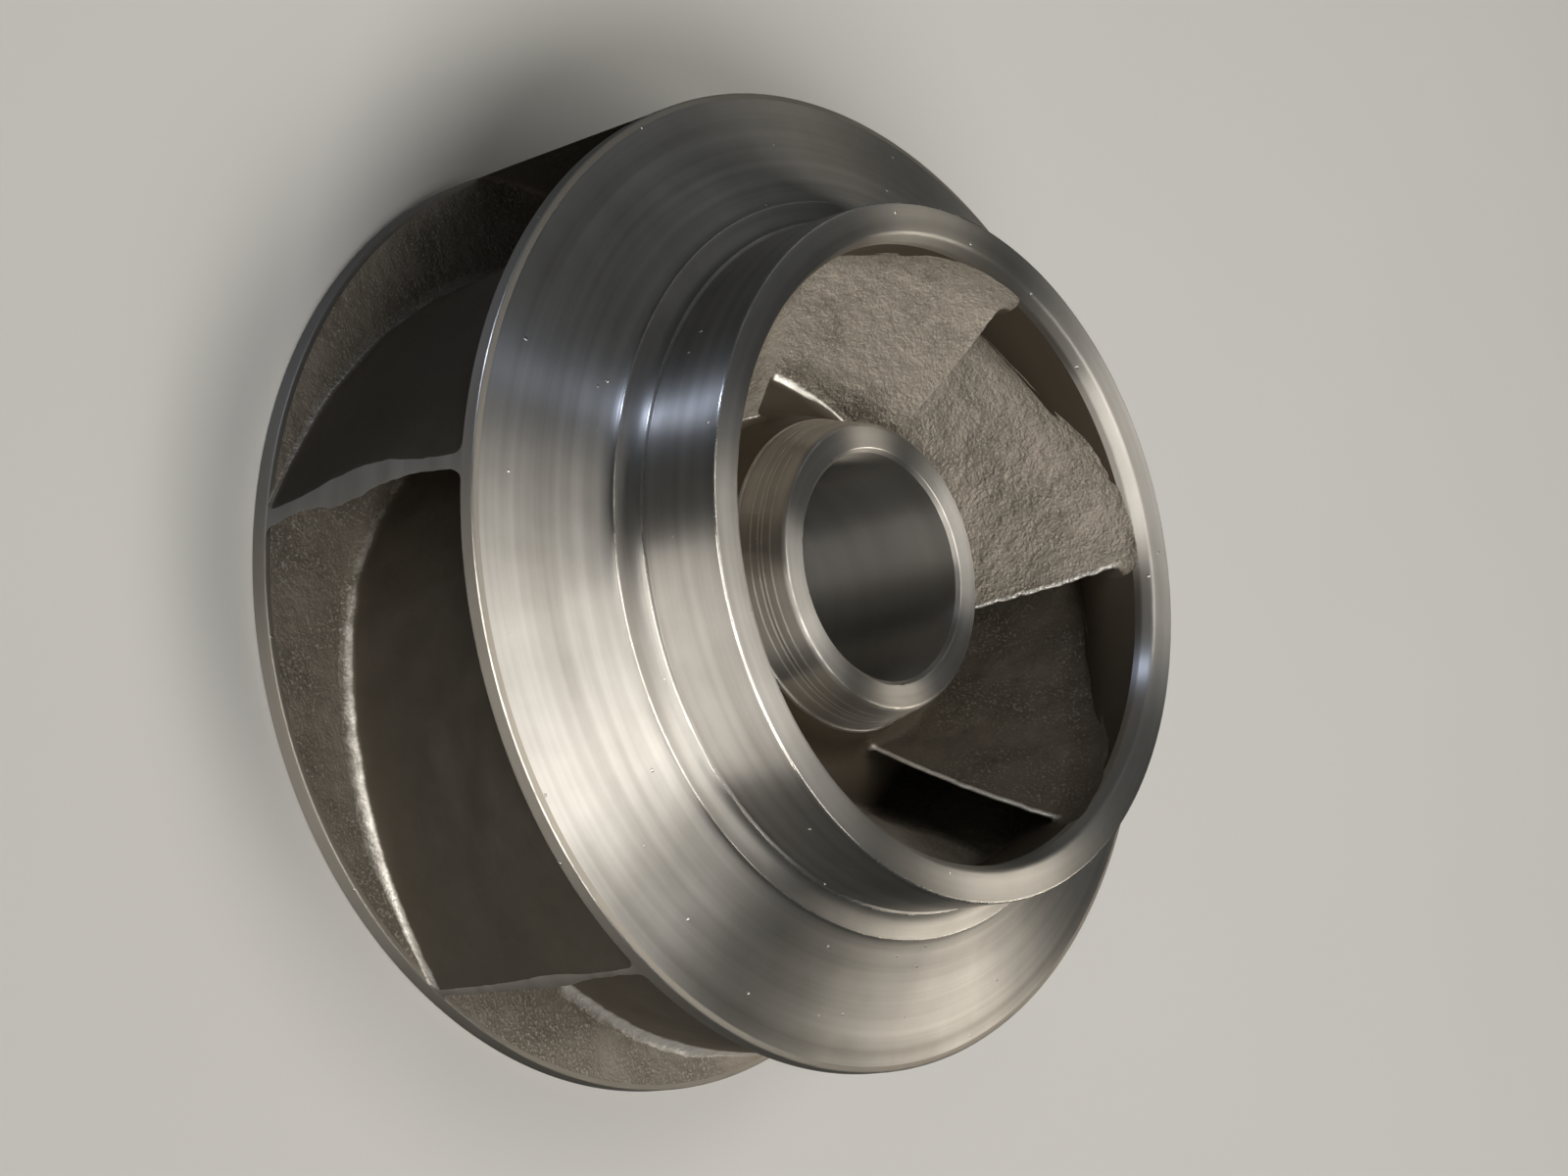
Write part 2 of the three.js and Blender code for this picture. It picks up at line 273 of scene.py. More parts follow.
# Soft lights in metres: name, place, width, height, watts, colour, whether steel mirrors them and
# whether they light what is matt
LIGHTS = (
    ("roof_lamps", (0.19, 0.35, 2.5), 1.7, 0.7, 18.5, "#fffcf7", True, True),
    ("roof_end", (0.95, 0.35, 2.4), 0.7, 1, 6, "#fffcf7", True, True),
    ("back_window", (0.98, 1.72, 1.5), 0.4, 0.8, 7.5, "#fff8ec", True, False),
    ("left_wall", (-1.32, 1.39, 1.88), 1.2, 1.8, 1.3, "#f4f8ff", True, False),
    ("left_strip", (-1.75, -1.2, 0.45), 0.07, 0.7, 6, "#d0e0ff", True, False),
    ("front_panel", (0.62, -2.2, 0.4), 3, 0.5, 42, "#fffcf7", True, False),
    ("front_lamps", (0.48, -1.49, 1.95), 1.8, 0.4, 12.5, "#fffcf7", True, False),
)

# Even light that only lights what is matt: the direction it comes from, its strength and how
# wide it looks
SKYLIGHT_FROM = (1.2, -1.2, 1.68)
SKYLIGHT_STRENGTH = 1.65
SKYLIGHT_WIDTH = math.radians(26)

# Dim light from all round, slightly cool
WORLD_COLOUR = (0.9, 0.98, 1)
WORLD_STRENGTH = 0.05

# How far the floor's corners lie from the shaft axis, and how far it lies under the impeller
FLOOR_REACH = 12
FLOOR_GAP = 0.2 * MM

# Places of a Mix node's share and of its colour sockets
SHARE, FIRST, SECOND, MIXED = 0, 6, 7, 2


def linear(hex_colour):
    """sRGB hex colour as linear red, green and blue."""
    channels = np.array([int(hex_colour[start:start + 2], 16) for start in (1, 3, 5)]) / 255
    curved = ((channels + 0.055) / 1.055) ** 2.4
    return tuple(np.where(channels <= 0.04045, channels / 12.92, curved))


def length_setting(name, description, default):
    """A length that the sidebar shows in the scene's unit."""
    return bpy.props.FloatProperty(
        name=name, description=description, default=default, min=0, unit="LENGTH", precision=4
    )


def colour_setting(name, description, default):
    """A colour that the sidebar shows, from its sRGB hex value."""
    return bpy.props.FloatVectorProperty(
        name=name, description=description, default=linear(default), min=0, max=1, subtype="COLOR"
    )


class ImpellerSizes(bpy.types.PropertyGroup):
    """Sizes of the casting and of its machining"""

    bore_radius: length_setting("Bore radius", "Radius of the shaft bore", 58.3 * MM)
    vane_thickness: length_setting("Vane thickness", "Thickness of a vane past its edge", 5 * MM)
    edge_thickness: length_setting("Edge thickness", "Thickness of a leading edge", 2.2 * MM)
    fillet: length_setting("Fillet", "Radius where a vane meets a shroud", 6.5 * MM)
    edge_break: length_setting("Edge break", "Rounding of a turned edge", 0.8 * MM)
    waviness: length_setting("Waviness", "Height of the waves in a cast surface", 0.3 * MM)
    chips: length_setting("Chips", "Depth of the nicks along a vane's free edges", 0.4 * MM)


class ImpellerFinish(bpy.types.PropertyGroup):
    """Colours and grain of the steel"""

    turned: colour_setting("Turned steel", "Colour of the turned outer faces", "#c2beb8")
    turned_dull: colour_setting("Turned smudges", "Colour of handled turned faces", "#a09b94")
    bored: colour_setting("Bored steel", "Colour of the shaft bore", "#b8b4ae")
    skimmed: colour_setting("Skimmed steel", "Colour of the outer rim", "#a49d92")
    # Lit and shaded copies of one cast steel: the dark one is painted shade on the smoother outer
    # faces, the first vane and the walls near the hub
    cast: colour_setting("Cast steel", "Colour of the blasted inner faces", "#ada395")
    cast_shaded: colour_setting("Dark casting", "Colour of the smooth outer faces", "#544b3e")
    # Painted glints: the sandy grain's tips take this colour
    cast_glint: colour_setting("Cast grain", "Colour of the grains that catch the light", "#d2cabc")
    # Painted highlight as well as grinding: leading edges, dressed fillet strips, turned edges and
    # nicks
    ground_and_highlight: colour_setting("Ground steel", "Colour of the hand-ground edges", "#efeae1")
    floor: colour_setting("Floor", "Colour of the floor", "#dedbd5")
    tool_marks: length_setting("Tool marks", "Width of the marks that turning leaves", 1.4 * MM)
    grit: length_setting("Grit", "Size of the blasted grains", 1.5 * MM)


def spline(points, place):
    """Catmull-Rom curve: between two points it is the cubic whose end slopes are half the step
    between the neighbours of each end. The place counts points from 0."""
    points = np.asarray(points, float)
    last = len(points) - 1
    here = np.clip(np.floor(place).astype(int), 0, last - 1)
    share = (place - here)[..., None]
    before, start, end, after = (points[np.clip(here + step, 0, last)] for step in (-1, 0, 1, 2))
    start_slope = (end - before) / 2
    end_slope = (after - start) / 2
    cubic = (2 * start - 2 * end + start_slope + end_slope) * share**3
    square = (3 * end - 3 * start - 2 * start_slope - end_slope) * share**2
    return cubic + square + start_slope * share + start


class Wall:
    """A smooth outline in the radius-height plane, read by the share of its length."""

    def __init__(self, outline):
        places = np.linspace(0, len(outline) - 1, CURVE_SAMPLES)
        self.points = spline(np.array(outline) * MM, places)
        steps = np.linalg.norm(np.diff(self.points, axis=0), axis=1)
        self.share = np.concatenate([[0], steps.cumsum()]) / steps.sum()

    def at(self, share):
        """Radius and height where that share of the length is run."""
        return np.stack([np.interp(share, self.share, part) for part in self.points.T], -1)

    def stretch(self, start, end, steps):
        """Points at even steps from one share of the length to another."""
        return self.at(np.linspace(start, end, steps + 1))

    def share_at_radius(self, radius):
        """Share of the length run at a radius, on an outline that goes outwards."""
        return np.interp(radius, self.points[:, 0], self.share)

    def share_at_height(self, height):
        """Share of the length run at a height, on an outline that goes down."""
        return np.interp(-height, -self.points[:, 1], self.share)

    def nearest_share(self, sections):
        """Share of the length run at the outline's points closest to those of the
        radius-height plane."""
        flat = sections.reshape(-1, 2)
        sparse = slice(None, None, SEARCH_STRIDE)
        gaps = np.linalg.norm(flat[:, None] - self.points[None, sparse], axis=-1)
        return self.share[sparse][gaps.argmin(1)].reshape(sections.shape[:-1])


hub_wall = Wall(HUB_WALL)
underside_wall = Wall(UNDERSIDE_WALL)
shroud_wall = Wall(SHROUD_WALL)
front_face = Wall(FRONT_FACE)
neck_band = Wall(NECK_BAND)


def rounded(corners):
    """Straight lines between corners (radius, height, rounding), in millimetres. A rounded corner
    is the parabola that touches both lines at its rounding's length from the corner, with one
    more point on each line that keeps the flat beside it flat."""
    points = np.array([corner[:2] for corner in corners], float)
    share = np.linspace(0, 1, ROUNDING_STEPS + 1)[:, None]
    outline = [points[:1]]
    for before, here, after, corner in zip(points, points[1:], points[2:], corners[1:]):
        lines = np.array([before - here, after - here])
        lengths = np.array([np.linalg.norm(line) for line in lines])
        reach = min(corner[2], MOST_ROUNDING * lengths.min())
        start, end = here + lines * (reach / lengths)[:, None]
        held = here + lines * np.minimum(HOLD_DISTANCE * reach / lengths, MOST_HOLD)[:, None]
        arc = (1 - share) ** 2 * start + 2 * share * (1 - share) * here + share**2 * end
        outline += [held[:1], arc, held[1:]]
    outline.append(points[-1:])
    return np.concatenate(outline) * MM


def ripple(points, wavelength, seed):
    """Uneven waves, about -1 to 1 high: the sum of sine waves in seeded directions, over the
    square root of their number."""
    random = np.random.default_rng(seed)
    directions = random.normal(size=(WAVE_COUNT, 3))
    directions /= np.linalg.norm(directions, axis=1)[:, None]
    lengths = wavelength * random.uniform(*WAVE_SPREAD, WAVE_COUNT)
    waves = directions * (2 * np.pi / lengths)[:, None]
    phases = random.uniform(0, 2 * np.pi, WAVE_COUNT)
    return np.sin(points @ waves.T + phases).sum(-1) / math.sqrt(WAVE_COUNT)


def smooth_step(value, low, high):
    """0 below low, 1 above high, and the cubic 3s^2 - 2s^3 of the share between them."""
    share = np.clip((value - low) / (high - low), 0, 1)
    return share * share * (3 - 2 * share)


def unit(vectors):
    """Vectors of length 1 in the same directions."""
    return vectors / np.maximum(np.linalg.norm(vectors, axis=-1, keepdims=True), NO_LENGTH)


def dot(first, second):
    """Dot products along the last axis, which stays with length 1."""
    return (first * second).sum(-1, keepdims=True)


def link_new(name, data):
    """A new object of that name in the scene, in place of one made before."""
    old = bpy.data.objects.get(name)
    if old is not None:
        bpy.data.objects.remove(old)
    made = bpy.data.objects.new(name, data)
    bpy.context.scene.collection.objects.link(made)
    return made


def make_piece(name, points, faces, face_materials, materials, ground_and_highlight=0, sand_and_light=1):
    """A mesh object at the origin from points, faces and each face's material. Each point
    carries how far it is ground and painted bright as a highlight, and how sandy it is and how
    light it is painted."""
    mesh = bpy.data.meshes.new(name)
    mesh.from_pydata(points, [], faces)
    for material in materials:
        mesh.materials.append(material)
    mesh.polygons.foreach_set("material_index", np.asarray(face_materials, np.int32))
    for key, values in (("ground_and_highlight", ground_and_highlight), ("sand_and_light", sand_and_light)):
        values = np.broadcast_to(np.float32(values), len(points)).copy()
        mesh.attributes.new(key, "FLOAT", "POINT").data.foreach_set("value", values)
    mesh.shade_smooth()
    mesh.set_sharp_from_angle(angle=SHARP_ANGLE)
    if mesh.validate():
        raise RuntimeError(name + " has faulty faces")
    return link_new(name, mesh)


def grid_faces(rows, columns):
    """Quads of a grid that closes on itself both ways, as a (rows * columns, 4) array."""
    row, column = np.meshgrid(np.arange(rows), np.arange(columns), indexing="ij")
    next_row = (row + 1) % rows
    next_column = (column + 1) % columns
    corners = ((row, column), (row, next_column), (next_row, next_column), (next_row, column))
    return np.stack([r * columns + c for r, c in corners], -1).reshape(-1, 4)


def edge_highlight_share(outline):
    """Share of painted edge highlight: 1 on an outline's sharp outward edges and 0 where it is
    flatter. A point's curvature is the sine of its bend over the mean length of the lines beside
    it."""
    after = np.roll(outline, -1, axis=0) - outline
    before = np.roll(after, 1, axis=0)
    after_length = np.maximum(np.linalg.norm(after, axis=1), NO_LENGTH)
    before_length = np.roll(after_length, 1)
    turn = before[:, 0] * after[:, 1] - before[:, 1] * after[:, 0]
    sine = turn / (after_length * before_length)
    return smooth_step(2 * sine / (after_length + before_length), *EDGE_HIGHLIGHT_BENDS)


def turned_piece(name, sections, materials, waviness, edge_sheen):
    """Surface of revolution: the outline point (r, z) at angle a is (r cos a, r sin a, z). A
    section is its outline, its material's place in the list, and the share of the waviness that
    moves it square to the outline. Outlines run counter-clockwise, so faces point outwards. The
    edge sheen is how strongly its sharp edges are painted bright as highlights and burnished."""
    outlines, places, shares = zip(*sections)
    counts = [len(section) for section in outlines]
    outline = np.concatenate(outlines)
    material = np.repeat(places, counts)
    share = np.repeat(np.array(shares, float), counts)
    share = np.minimum(share, np.minimum(np.roll(share, 1), np.roll(share, -1)))
    angle = np.arange(TURN_STEPS) * 2 * np.pi / TURN_STEPS
    slope = np.roll(outline, -1, axis=0) - np.roll(outline, 1, axis=0)
    outward = unit(np.stack([slope[:, 1], -slope[:, 0]], -1))
    around = np.stack([np.cos(angle), np.sin(angle), np.zeros(TURN_STEPS)], -1)

    def turn(section):
        """Points or directions of the outline, carried round the axis."""
        return section[:, None, :1] * around + section[:, None, 1:] * UP

    points = turn(outline)
    broad, fine = SHROUD_WAVES
    waves = ripple(points, broad, seed=5) + 0.5 * ripple(points, fine, seed=6)
    points = points + turn(outward) * (waves * share[:, None] * waviness)[..., None]
    faces = grid_faces(len(outline), TURN_STEPS)
    # Shares of painted edge highlight, and of sand and painted light on the cast walls
    rows = (material, edge_sheen * edge_highlight_share(outline), wall_sand_and_light(outline[:, 0]))
    material, ground_and_highlight, sand_and_light = (np.repeat(values, TURN_STEPS) for values in rows)
    return make_piece(name, points.reshape(-1, 3), faces, material, materials, ground_and_highlight, sand_and_light)


def wall_sand_and_light(radius):
    """How sandy and how light the shrouds' cast walls are painted: smooth and painted dark as shade
    near the hub, and sandiest and lightest at the rim.
    """
    return WALL_SAND_AND_LIGHT * smooth_step(radius, *WALL_SAND_LIGHT_RADII)


def hub_sections(sizes):
    """Outline of the hub, counter-clockwise: back face, sleeve, stepped nose, end face, bore."""
    bore = sizes.bore_radius / MM
    edge = sizes.edge_break / MM
    top = HUB_HEIGHT
    nose = NOSE_RADII[1]
    back_edge = (bore + BACK_BEVEL, 0, 0)
    sleeve = [back_edge, (SLEEVE_RADIUS, 0, edge), (SLEEVE_RADIUS, SLEEVE_HEIGHT, edge)]
    seat = [(SEAT_RADIUS, height, edge) for height in SEAT_HEIGHTS]
    steps = []
    for height in NOSE_STEPS:
        radius = np.interp(height, NOSE_HEIGHTS, NOSE_RADII)
        steps.append((radius + STEP_HALF_DEPTH, height, 0.25))
        steps.append((radius - STEP_HALF_DEPTH, height + STEP_RISE, 0.25))
    bevel = [(nose, top - NOSE_BEVEL_HEIGHT, 0.8), (nose - NOSE_BEVEL_WIDTH, top, 0.9)]
    mouth = [(bore + MOUTH_BEVEL, top, 0.4), (bore, top - MOUTH_BEVEL, 0.5)]
    outside = rounded([*sleeve, *seat, *NOSE_COLLAR, *steps, *bevel, *mouth])
    bored = rounded([(bore, top - 1.3 * MOUTH_BEVEL, 0), (bore, BACK_BEVEL, 0.4), back_edge])[:-1]
    return [(outside, 0, 0), (bored, 1, 0)]


def back_sections(sizes):
    """Outline of the back shroud: flat plate, rim, cast hub wall, and the hollow behind it."""
    edge = sizes.edge_break / MM
    plate = HUB_WALL[-1][1]
    rim = [(UNDERSIDE_WALL[-1][0] + 1, 0, 0), (OUTER_RADIUS, 0, edge), (OUTER_RADIUS, plate, edge)]
    rim += [(OUTER_RADIUS - RIM_BAND, plate + BACK_WALL_RISE, 0)]
    wall = hub_wall.stretch(*HUB_WALL_STRETCH, WALL_STEPS)
    hidden = np.array(HIDDEN_EDGE) * MM
    hollow = underside_wall.stretch(*UNDERSIDE_STRETCH, WALL_STEPS)
    return [(rounded(rim), 1, 0), (wall, 0, 0.6), (hidden, 0, 0), (hollow, 0, 1)]


def front_sections(sizes):
    """Outline of the front shroud and suction ring: rim, hollow cone, stepped neck, ring, end
    face, bevel of the eye, and the cast wall back to the outlet."""
    edge = sizes.edge_break / MM
    inside = OUTER_RADIUS - RIM_BAND
    lower = SHROUD_WALL[-1][1]
    upper = FRONT_FACE[0][1]
    top = RING_HEIGHT
    rim = [(inside, lower + FRONT_WALL_RISE, 0), (OUTER_RADIUS, lower, edge)]
    rim += [(OUTER_RADIUS, upper, edge), (inside, upper + FRONT_FACE_RISE, 0)]
    face = front_face.stretch(*FRONT_FACE_STRETCH, FACE_STEPS)
    shoulder = [(*FRONT_FACE[-1], 0), *NECK_SHOULDER, (*NECK_BAND[0], 0)]
    band = neck_band.stretch(*NECK_BAND_STRETCH, BAND_STEPS)
    ledge = [(*NECK_BAND[-1], 0), *NECK_LEDGE]
    end = [(RING_RADIUS, top - OUTSIDE_DEPTH, 0), (RING_RADIUS, top, 1.5 * edge)]
    end += [(RING_FACE_RADIUS, top, 1.6), (EYE_RADIUS, top - EYE_BEVEL, 0.8)]
    end += [(EYE_RADIUS, top - INSIDE_DEPTH, 0)]
    wall = shroud_wall.stretch(*SHROUD_WALL_STRETCH, WALL_STEPS)
    turned = np.concatenate([face, rounded(shoulder)[1:-1], band, rounded(ledge), rounded(end)])
    return [(rounded(rim), 1, 0), (turned, 0, 0), (wall, 2, 0.3)]


def vane_middle(along, up):
    """Middle surface of a vane: a straight line in radius, height and angle from its foot on the
    hub wall to its top on the shroud wall, both carried along the stations."""
    stations = np.array(VANE_STATIONS, float)
    foot_share = hub_wall.share_at_radius(stations[:, 1] * MM)
    top_share = shroud_wall.share_at_height(stations[:, 3] * MM)
    place = along * (len(stations) - 1)
    foot = spline(np.stack([stations[:, 0], foot_share], -1), place)
    top = spline(np.stack([stations[:, 2], top_share], -1), place)
    foot_point = hub_wall.at(np.clip(foot[..., 1], 0, 1))
    top_point = shroud_wall.at(np.clip(top[..., 1], 0, 1))
    section = foot_point + (top_point - foot_point) * up[..., None]
    angle = np.radians(foot[..., 0] + (top[..., 0] - foot[..., 0]) * up) + VANE_PHASE
    radius, height = section[..., 0], section[..., 1]
    return np.stack([radius * np.cos(angle), radius * np.sin(angle), height], -1)


def vane_directions(along, up):
    """Directions along a vane's middle surface and square to it, from small steps along and up."""
    near = np.minimum(along, 1 - SLOPE_STEP)
    here = vane_middle(near, up)
    forward = unit(vane_middle(near + SLOPE_STEP, up) - here)
    upward = unit(vane_middle(near, up + SLOPE_STEP) - here)
    return forward, unit(np.cross(forward, upward))


def section_of(points):
    """Radius and height of points in space."""
    return np.stack([np.hypot(points[..., 0], points[..., 1]), points[..., 2]], -1)


def around_of(points):
    """Outward and circumferential directions at points in space."""
    outward = unit(points * np.array([1, 1, 0]))
    return outward, np.cross(UP, outward)


def wall_slide(wall, point, forward, square):
    """Direction in a wall's surface square to the vane's foot line, longer where the vane leans,
    so that a step along it moves the vane's face out by the same amount."""
    share = wall.nearest_share(section_of(point))
    further = wall.at(np.minimum(share + WALL_SLOPE_STEP, 1))
    slope = unit(further - wall.at(np.maximum(share - WALL_SLOPE_STEP, 0)))
    outward, around = around_of(point)
    down_wall = outward * slope[..., :1] + UP * slope[..., 1:]
    slide = unit(np.cross(np.cross(down_wall, around), forward))
    lean = dot(slide, square)
    return slide * np.sign(lean) / np.maximum(np.abs(lean), LEAST_LEAN)


def fillet_rows(fillet):
    """Distances from a wall to the rows of a fillet, closer together towards the wall, with one
    row inside the wall first."""
    share = np.linspace(0, 1, FILLET_ROWS)
    return np.concatenate([[-ROOT_DEPTH * fillet], fillet * share**WALL_CROWDING])


def flare(distance, fillet):
    """How far a fillet of radius r stands out at a distance d from its wall:
    r - sqrt(r^2 - (r - d)^2)."""
    short = np.clip(fillet - distance, 0, fillet)
    return fillet - np.sqrt(fillet**2 - short**2)


def vane_grid(fillet):
    """Shares along and up a vane, and distances from its foot and its top, of its grid's points.
    Rows lie at fixed distances from the walls inside the fillets and evenly between them."""
    along = np.linspace(0, 1, VANE_STEPS + 1)[:, None] ** EDGE_CROWDING
    foot_line, top_line = (vane_middle(along, np.full_like(along, up)) for up in (0, 1))
    span = np.linalg.norm(top_line - foot_line, axis=-1)
    near_wall = fillet_rows(fillet)
    middle = np.linspace(0, 1, VANE_ROWS + 2)[1:-1]
    from_foot = np.concatenate([
        np.broadcast_to(near_wall, (len(along), len(near_wall))),
        fillet + (span - 2 * fillet) * middle,
        span - near_wall[::-1],
    ], axis=1)
    return np.broadcast_to(along, from_foot.shape), from_foot / span, from_foot, span - from_foot


def seat_on(wall, loop, distance, row, fillet):
    """Moves a fillet's foot, the given row, onto the wall's nearest point, and the rows beside it
    by a share of that step which falls to nothing at the fillet's end."""
    section = section_of(loop[:, row])
    step = wall.at(wall.nearest_share(section)) - section
    share = (np.clip(1 - distance / fillet, 0, 1) ** 2)[..., None]
    outward, _ = around_of(loop)
    return loop + share * (outward * step[:, None, :1] + UP * step[:, None, 1:])


class VaneShape:
    """One vane as a middle surface, which is a grid of points along it and up it, and two faces
    that stand off that by half the thickness, the fillets and seeded waves."""

    def __init__(self, sizes, number):
        self.sizes = sizes
        self.number = number
        self.along, self.up, self.from_foot, self.from_top = vane_grid(sizes.fillet)
        self.point = vane_middle(self.along, self.up)
        self.forward, self.square = vane_directions(self.along, self.up)
        steps = np.linalg.norm(np.diff(self.point, axis=0), axis=-1)
        self.from_edge = np.concatenate([np.zeros((1, self.point.shape[1])), steps.cumsum(0)])
        self.flares = flare(self.from_foot, sizes.fillet) + flare(self.from_top, sizes.fillet)
        self.half = self.half_thickness()
        self.push = self.push_directions()
        self.nicked = self.nicked_points()

    def half_thickness(self):
        """Half the thickness, which grows from the leading edge's to the full one."""
        edge = self.sizes.edge_thickness
        growth = (self.sizes.vane_thickness - edge) * smooth_step(self.along, 0, THICK_FROM)
        return (edge + growth) / 2

    def push_directions(self):
        """Directions in which the faces stand off: square to the middle surface, and at the foot
        and the top along the walls there."""
        at_foot = 1 - smooth_step(self.from_foot, 0, self.sizes.fillet)[..., None]
        at_top = 1 - smooth_step(self.from_top, 0, self.sizes.fillet)[..., None]
        along_foot = wall_slide(hub_wall, self.point, self.forward, self.square)
        along_top = wall_slide(shroud_wall, self.point, self.forward, self.square)
        slides = along_foot * at_foot + along_top * at_top
        return self.square * (1 - at_foot - at_top) + slides

    def nicked_points(self):
        """The middle surface with its leading edge moved forwards and back by two ripples, clear
        of the fillets, by a share that falls off as e to the power of minus the distance."""
        broad, fine = EDGE_NICKS
        start = self.point[:1]
        nick = ripple(start, broad, seed=40 + self.number)
        nick = nick + 0.8 * ripple(start, fine, seed=60 + self.number)
        clear = smooth_step(np.minimum(self.from_foot, self.from_top), 0, 2 * self.sizes.fillet)
        depth = self.sizes.chips * GROUND_AND_HIGHLIGHT[self.number][0]
        nicks = depth * nick * clear[:1] * np.exp(-self.from_edge / NICKS_FADE)
        return self.point + self.forward * nicks[..., None]

    def outlet_cut(self, side, widths):
        """Distance along the rim from the middle surface to a face's edge at the outlet: the
        spline through the widths, and a ripple that is higher on the inner face."""
        widths = np.array(widths)[:, None] * MM
        cut = spline(widths, np.clip(self.up, 0, 1) * (len(widths) - 1))[..., 0]
        chips = self.sizes.chips * (0.75 - 0.25 * side)
        return cut + chips * ripple(self.point, OUTLET_WAVE, seed=80 + self.number + side)

    def face(self, side, widths):
        """The outer face (side 1) or the inner one (side -1). Towards the outlet the way off the
        middle surface turns from the push directions to the way round the rim, and the points'
        radii return to those of the middle surface, so that both faces end on the rim."""
        broad, fine = VANE_WAVES
        waves = ripple(self.point + side * FACE_SHIFT, broad, seed=10 * self.number + side + 2)
        waves = waves + 0.4 * ripple(self.point, fine, seed=30 + 10 * self.number + side)
        grown = smooth_step(self.from_edge, 0, WAVES_GROW)
        offset = self.half + self.sizes.waviness * waves * grown
        _, around = around_of(self.point)
        at_outlet = smooth_step(self.along, OUTLET_FROM, 1)[..., None]
        inside = self.push * (offset + self.flares)[..., None]
        outside = -around * (self.outlet_cut(side, widths) + OUTLET_FLARE * self.flares)[..., None]
        moved = self.nicked + side * (inside * (1 - at_outlet) + outside * at_outlet)
        reach = section_of(moved)[..., :1]
        kept = reach + (section_of(self.point)[..., :1] - reach) * at_outlet
        return moved * np.array([1, 1, 0]) * kept / reach + moved * UP

    def leading_edge(self):
        """Half circles round the leading edge: at angle b, the sine of b times the push minus
        the cosine of b times the forward direction."""
        bend = np.linspace(-np.pi / 2, np.pi / 2, EDGE_STEPS + 2)[1:-1, None, None]
        way = self.push[:1] * np.sin(bend) - self.forward[:1] * np.cos(bend)
        return self.nicked[:1] + (self.half + self.flares)[:1, :, None] * way


def round_vane(values):
    """Values of a vane's middle surface carried round its loop."""
    return np.concatenate([values[::-1], np.repeat(values[:1], EDGE_STEPS, 0), values])


def vane_loop(sizes, number):
    """One vane's points as a grid whose columns go round it, along its inner face to the leading
    edge, round that in a half circle and back along its outer face, and whose rows go up it.
    Also gives each point's distance from the leading edge, the foot and the top, and its side."""
    shape = VaneShape(sizes, number)
    outer_widths, inner_widths = OUTLET_EDGES[number]
    inner_face = shape.face(-1, inner_widths)
    outer_face = shape.face(1, outer_widths)
    loop = np.concatenate([inner_face[::-1], shape.leading_edge(), outer_face])
    edge = round_vane(shape.from_edge)
    foot = round_vane(shape.from_foot)
    top = round_vane(shape.from_top)
    side = np.sign(np.arange(len(loop)) - (len(loop) - 1) / 2)[:, None]
    loop = seat_on(hub_wall, loop, foot, 1, sizes.fillet)
    loop = seat_on(shroud_wall, loop, top, -2, sizes.fillet)
    return loop, edge, foot, top, side


def vane_faces(columns, rows):
    """Quads round a vane's loop and up its rows, with its two hidden ends closed by strips that
    join the opposite faces, and a list that says which of them lie on the outer rim."""
    column, row = np.meshgrid(np.arange(columns), np.arange(rows - 1), indexing="ij")
    following = (column + 1) % columns
    corners = ((column, row), (following, row), (following, row + 1), (column, row + 1))
    sides = np.stack([c * rows + r for c, r in corners], -1)
    on_rim = np.zeros(sides.shape[:2], int)
    on_rim[-1] = 1
    first = np.arange(columns // 2 - 1)
    strip = np.stack([first, first + 1, columns - 2 - first, columns - 1 - first], -1)
    faces = np.concatenate([sides.reshape(-1, 4), strip[:, ::-1] * rows, strip * rows + rows - 1])
    return faces, np.concatenate([on_rim.ravel(), np.zeros(2 * len(strip), int)])


def ground_and_highlight_share(fillet, number, edge, foot, top, side):
    """How far each point of a vane is ground and painted bright as a highlight: most on its leading
    edge and on the dressed strips of its foot fillet. The inner face's strip widens to its end near
    the leading edge, the outer face's towards the outlet."""
    at_edge, at_inner, at_outer, half_strip = GROUND_AND_HIGHLIGHT[number]
    clear = smooth_step(foot, 0, fillet) * smooth_step(top, 0, fillet)
    on_edge = (1 - smooth_step(edge, *BRIGHT_EDGE_END)) * clear
    late = smooth_step(edge / edge.max(), *OUTER_GROWTH)
    narrow, wide = INNER_STRIP
    inner_width = narrow + (wide - narrow) * smooth_step(edge, *STRIP_WIDENING)
    width = np.where(side < 0, inner_width, half_strip * (0.6 + 0.4 * late)) * MM
    softness = np.where(side < 0, *STRIP_SOFTNESS)
    from_strip = np.abs(foot - STRIP_MIDDLE * fillet) / width
    strip = 1 - smooth_step(from_strip, 1 - softness, 1 + softness)
    short = 1 - smooth_step(edge, *STRIP_END)
    dressed = strip * np.where(side < 0, short * at_inner, (0.5 + 0.5 * late) * at_outer)
    return np.maximum(on_edge * at_edge, dressed)


def vane_sand_and_light(fillet, number, loop, foot, side):
    """How sandy and how light each point of a vane is painted: its outer face is the smoother one
    and is painted dark as shade, and its foot is as sandy and light as the wall that it stands on."""
    wall = wall_sand_and_light(section_of(loop)[..., 0])
    face = np.where(side < 0, INNER_SAND_AND_LIGHT[number], OUTER_SAND_AND_LIGHT)
    return wall + (face - wall) * smooth_step(foot, 0.1 * fillet, 0.8 * fillet)


